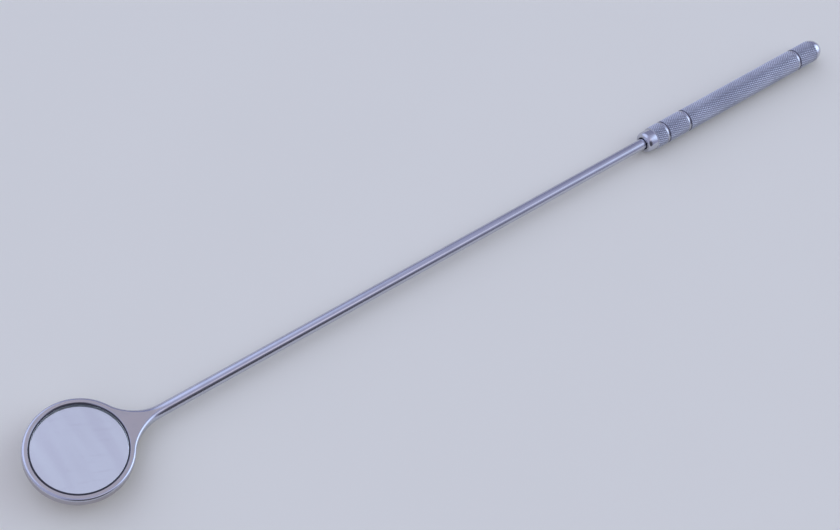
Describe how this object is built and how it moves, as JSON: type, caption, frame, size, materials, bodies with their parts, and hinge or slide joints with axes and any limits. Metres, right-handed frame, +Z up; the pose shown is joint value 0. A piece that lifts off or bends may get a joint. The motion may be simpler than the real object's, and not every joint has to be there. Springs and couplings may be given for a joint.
{
  "type": "mouth mirror",
  "caption": "Long-handled mouth mirror: round glass mirror in a turned steel frame, tilted on a slim shaft that screws into a grooved, knurled handle.",
  "frame": {"origin": "on the shaft's axis, half-way along the handle's long knurled grip", "axes": "+X along the shaft from the mirror to the handle's tail, +Z up on the side that the mirror faces, +Y across"},
  "size_m": [0.497, 0.05, 0.0182],
  "materials": {
    "mirror_glass": "clear polished glass",
    "mirror_silvering": "silvered, protected at the back",
    "glass_cement": "set cement",
    "glass_seal": "dark satin sealant",
    "mirror_frame": "satin turned face, polished edges",
    "shaft_rod": "fine ground rod",
    "shaft_seal_ring": "black rubber",
    "nose_bush": "polished turned steel",
    "grip_sleeve": "diamond knurled, with turned grooves",
    "tail_plug": "polished turned steel"
  },
  "bodies": {
    "handle": {"grip_sleeve": "grip_sleeve", "nose_bush": "nose_bush", "tail_plug": "tail_plug"},
    "sealing_ring": {"shaft_seal_ring": "shaft_seal_ring"},
    "mirror": {"shaft_rod": "shaft_rod", "mirror_frame": "mirror_frame", "mirror_glass": "mirror_glass", "mirror_silvering": "mirror_silvering", "glass_cement": "glass_cement", "glass_seal": "glass_seal"}
  },
  "joints": [
    {"name": "shaft_travel", "type": "slide", "parent": "handle", "child": "sealing_ring", "axis": [-1, 0, 0], "range_m": [0, 0.0076]},
    {"name": "shaft_turn", "type": "hinge", "parent": "sealing_ring", "child": "mirror", "pos_m": [-0.0622, 0, 0], "axis": [-1, 0, 0], "range_deg": [0, 3420.5]}
  ],
  "couplings": [
    {"joint": "shaft_turn", "follows": "shaft_travel", "rad_per_m": 7854}
  ]
}
